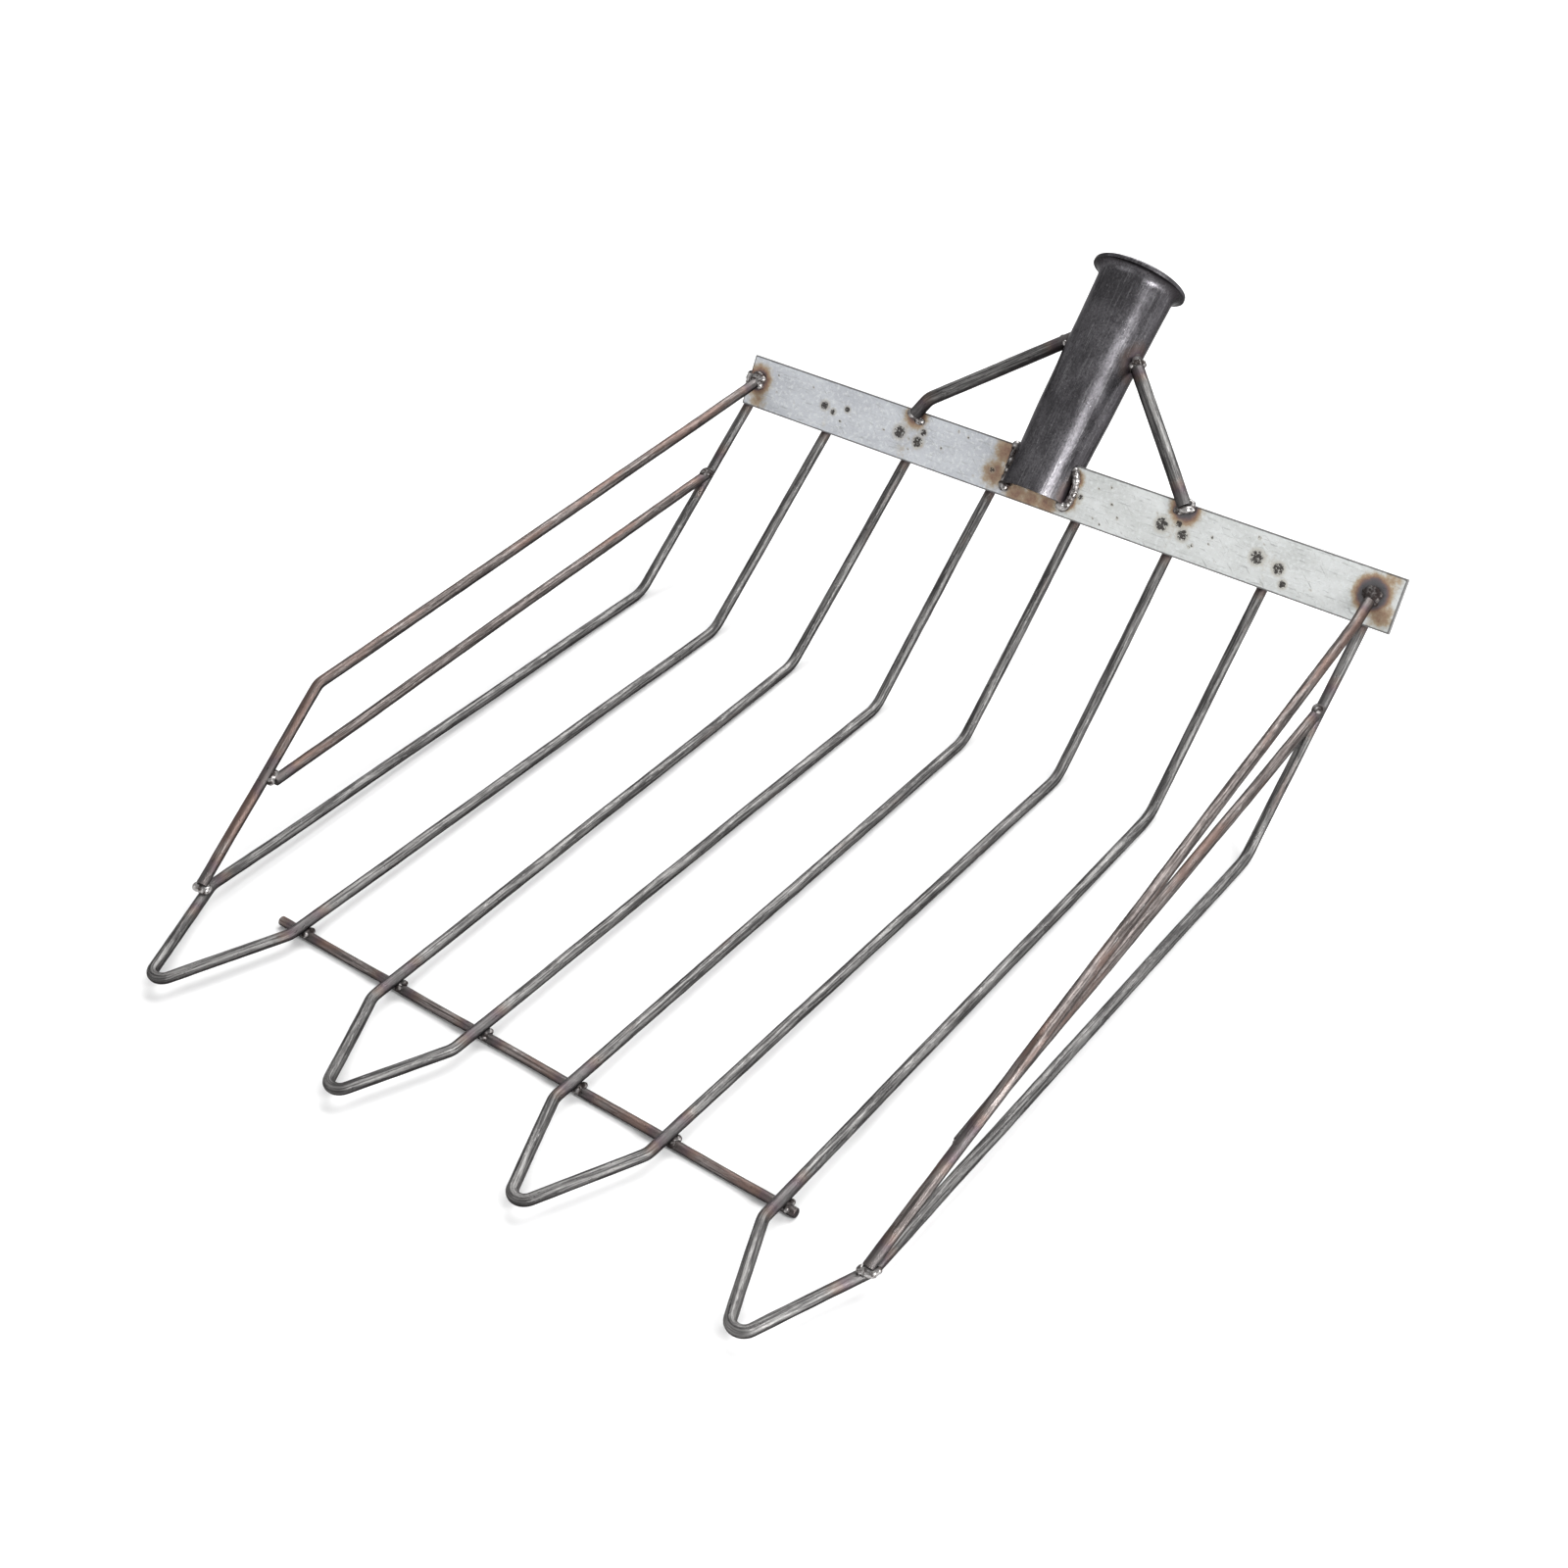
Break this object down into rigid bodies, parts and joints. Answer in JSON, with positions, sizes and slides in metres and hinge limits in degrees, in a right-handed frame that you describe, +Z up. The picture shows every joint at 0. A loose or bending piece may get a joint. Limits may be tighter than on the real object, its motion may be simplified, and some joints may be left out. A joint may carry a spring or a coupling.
{
  "type": "scoop fork head",
  "caption": "Welded round-bar scoop fork head: V-tipped tine loops with side rails on a flat back plate, with a braced tapered socket for a pole.",
  "frame": {"origin": "on the ground under the middle of the head's bounding box", "axes": "+Z up as the head lies on its heel bends and cross rod, +Y from the tine tips to the pole socket, +X to the right"},
  "size_m": [0.4538, 0.6322, 0.2],
  "materials": {
    "bar_steel": "dark mill scale, satin, with lighter rubbed streaks",
    "tinted_steel": "mill scale with brown and violet heat tint",
    "socket_steel": "charcoal mill scale with lengthwise scratches",
    "zinc_plate": "dull zinc coating, scratched, with brown heat tint round the welds",
    "weld_metal": "rippled bright weld bead with dark spatter"
  },
  "bodies": {
    "root": {"back_plate": "zinc_plate", "pole_socket": "socket_steel", "tine_loop_1": "bar_steel", "tine_loop_2": "bar_steel", "tine_loop_3": "bar_steel", "tine_loop_4": "bar_steel", "brace_left": "bar_steel", "brace_right": "bar_steel", "cross_rod": "tinted_steel", "top_rail_left": "tinted_steel", "top_rail_right": "tinted_steel", "mid_rail_left": "tinted_steel", "mid_rail_right": "tinted_steel", "tine_weld_1": "weld_metal", "tine_weld_2": "weld_metal", "tine_weld_3": "weld_metal", "tine_weld_4": "weld_metal", "tine_weld_5": "weld_metal", "tine_weld_6": "weld_metal", "tine_weld_7": "weld_metal", "tine_weld_8": "weld_metal", "cross_weld_2": "weld_metal", "cross_weld_3": "weld_metal", "cross_weld_4": "weld_metal", "cross_weld_5": "weld_metal", "cross_weld_6": "weld_metal", "cross_weld_7": "weld_metal", "rail_weld_left": "weld_metal", "leg_weld_left": "weld_metal", "mid_back_weld_left": "weld_metal", "mid_front_weld_left": "weld_metal", "socket_weld_left": "weld_metal", "brace_foot_weld_left": "weld_metal", "brace_top_weld_left": "weld_metal", "rail_weld_right": "weld_metal", "leg_weld_right": "weld_metal", "mid_back_weld_right": "weld_metal", "mid_front_weld_right": "weld_metal", "socket_weld_right": "weld_metal", "brace_foot_weld_right": "weld_metal", "brace_top_weld_right": "weld_metal"}
  },
  "joints": []
}
